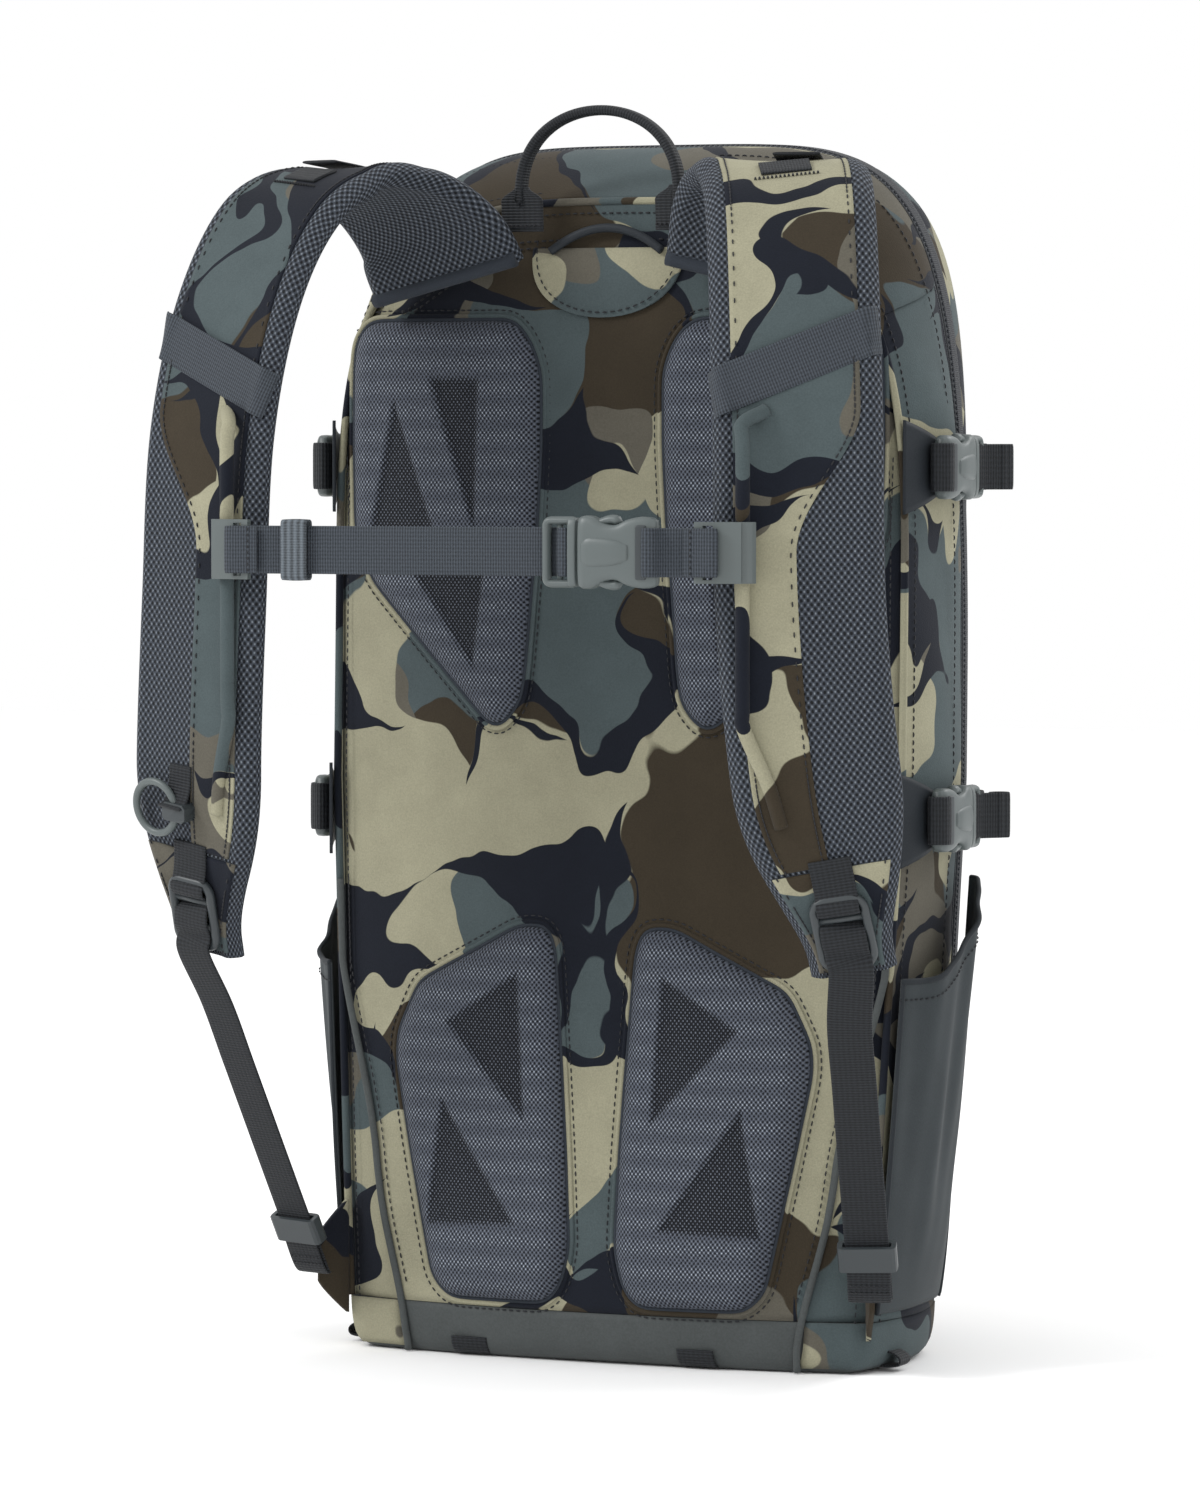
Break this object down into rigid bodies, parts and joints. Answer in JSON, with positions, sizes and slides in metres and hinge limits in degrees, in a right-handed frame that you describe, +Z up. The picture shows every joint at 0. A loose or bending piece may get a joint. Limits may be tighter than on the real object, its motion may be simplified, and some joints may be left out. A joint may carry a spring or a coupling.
{
  "type": "tackle backpack",
  "caption": "Panel-loading day backpack with a padded mesh back, contoured shoulder straps, a sternum strap, side compression buckles, stretch side pockets and a haul handle.",
  "frame": {"origin": "centre of the bottom tray's flat face", "axes": "+Z up, +Y out of the front door, -Y out of the harness side, +X towards the wearer's right"},
  "size_m": [0.35, 0.3392, 0.5406],
  "materials": {
    "camo_fabric": "printed woven polyester, matte",
    "spacer_mesh": "knitted spacer mesh",
    "coated_fabric": "coated woven nylon, satin",
    "stretch_fabric": "stretch woven, matte",
    "webbing": "ribbed woven webbing",
    "moulded_plastic": "moulded acetal, satin",
    "frame_sheet_plastic": "sheet plastic"
  },
  "bodies": {
    "pack": {"adjuster_web_left": "webbing", "adjuster_web_right": "webbing", "back_panel": "camo_fabric", "bottom_tray": "coated_fabric", "frame_sheet": "frame_sheet_plastic", "front_base": "camo_fabric", "hose_port_welt": "coated_fabric", "hydration_sleeve": "stretch_fabric", "ladder_lock_left": "moulded_plastic", "ladder_lock_right": "moulded_plastic", "lifter_buckle_left": "moulded_plastic", "lifter_buckle_right": "moulded_plastic", "lifter_web_left": "webbing", "lifter_web_right": "webbing", "lower_pad_left": "spacer_mesh", "lower_pad_right": "spacer_mesh", "ring_hook": "moulded_plastic", "shoulder_strap_left": "camo_fabric", "shoulder_strap_right": "camo_fabric", "side_panel_left": "camo_fabric", "side_panel_right": "camo_fabric", "side_pocket_left": "stretch_fabric", "side_pocket_right": "stretch_fabric", "side_socket_lower_left": "moulded_plastic", "side_socket_lower_right": "moulded_plastic", "side_socket_upper_left": "moulded_plastic", "side_socket_upper_right": "moulded_plastic", "side_tab_lower_left": "coated_fabric", "side_tab_lower_right": "coated_fabric", "side_tab_upper_left": "coated_fabric", "side_tab_upper_right": "coated_fabric", "sternum_rail_left": "camo_fabric", "sternum_rail_right": "camo_fabric", "top_panel": "camo_fabric", "upper_pad_left": "spacer_mesh", "upper_pad_right": "spacer_mesh", "wing_left": "camo_fabric", "wing_right": "camo_fabric"},
    "front_panel": {"front_panel": "camo_fabric", "side_web_lower_left": "webbing", "side_web_lower_right": "webbing", "side_web_upper_left": "webbing", "side_web_upper_right": "webbing"},
    "haul_handle": {"haul_handle": "webbing"},
    "sternum_left": {"sternum_slider_left": "moulded_plastic", "sternum_web_left": "webbing", "sternum_keeper": "webbing"},
    "sternum_right": {"sternum_slider_right": "moulded_plastic", "sternum_web_right": "webbing", "sternum_socket": "moulded_plastic"},
    "sternum_plug": {"sternum_plug": "moulded_plastic"},
    "gear_ring": {"gear_ring": "moulded_plastic"},
    "zip_slider_left": {"zip_slider_left": "moulded_plastic"},
    "web_keeper_left": {"web_keeper_left": "moulded_plastic"},
    "side_plug_upper_left": {"side_plug_upper_left": "moulded_plastic"},
    "side_plug_lower_left": {"side_plug_lower_left": "moulded_plastic"},
    "zip_slider_right": {"zip_slider_right": "moulded_plastic"},
    "web_keeper_right": {"web_keeper_right": "moulded_plastic"},
    "side_plug_upper_right": {"side_plug_upper_right": "moulded_plastic"},
    "side_plug_lower_right": {"side_plug_lower_right": "moulded_plastic"}
  },
  "joints": [
    {"name": "door_hinge", "type": "hinge", "parent": "pack", "child": "front_panel", "pos_m": [0, 0.13475, 0.085], "axis": [-1, 0, 0], "range_deg": [0, 95]},
    {"name": "handle_fold", "type": "hinge", "parent": "pack", "child": "haul_handle", "pos_m": [0, -0.057, 0.5], "axis": [1, 0, 0], "range_deg": [-35, 75]},
    {"name": "sternum_height", "type": "slide", "parent": "pack", "child": "sternum_left", "axis": [0, 0, 1], "range_m": [-0.05, 0.03]},
    {"name": "sternum_height_right", "type": "slide", "parent": "pack", "child": "sternum_right", "axis": [0, 0, 1], "range_m": [-0.05, 0.03]},
    {"name": "sternum_release", "type": "slide", "parent": "sternum_left", "child": "sternum_plug", "axis": [-1, 0, 0], "range_m": [0, 0.06]},
    {"name": "ring_swing", "type": "hinge", "parent": "pack", "child": "gear_ring", "pos_m": [-0.14998, -0.16353, 0.24042], "axis": [0.0998, -0.2083, 0.973], "range_deg": [0, 90]},
    {"name": "zip_run_left", "type": "slide", "parent": "pack", "child": "zip_slider_left", "axis": [-0.0473, 0.0209, 0.9987], "range_m": [0, 0.06]},
    {"name": "keeper_slide_left", "type": "slide", "parent": "pack", "child": "web_keeper_left", "axis": [-0.1087, -0.4582, 0.8822], "range_m": [0, 0.05]},
    {"name": "side_release_upper_left", "type": "slide", "parent": "front_panel", "child": "side_plug_upper_left", "axis": [0, 1, 0], "range_m": [0, 0.022]},
    {"name": "side_release_lower_left", "type": "slide", "parent": "front_panel", "child": "side_plug_lower_left", "axis": [0, 1, 0], "range_m": [0, 0.022]},
    {"name": "zip_run_right", "type": "slide", "parent": "pack", "child": "zip_slider_right", "axis": [0.0473, 0.0209, 0.9987], "range_m": [0, 0.06]},
    {"name": "keeper_slide_right", "type": "slide", "parent": "pack", "child": "web_keeper_right", "axis": [0.1087, -0.4582, 0.8822], "range_m": [0, 0.05]},
    {"name": "side_release_upper_right", "type": "slide", "parent": "front_panel", "child": "side_plug_upper_right", "axis": [0, 1, 0], "range_m": [0, 0.022]},
    {"name": "side_release_lower_right", "type": "slide", "parent": "front_panel", "child": "side_plug_lower_right", "axis": [0, 1, 0], "range_m": [0, 0.022]}
  ],
  "couplings": [
    {"joint": "sternum_height_right", "follows": "sternum_height", "ratio": 1}
  ]
}
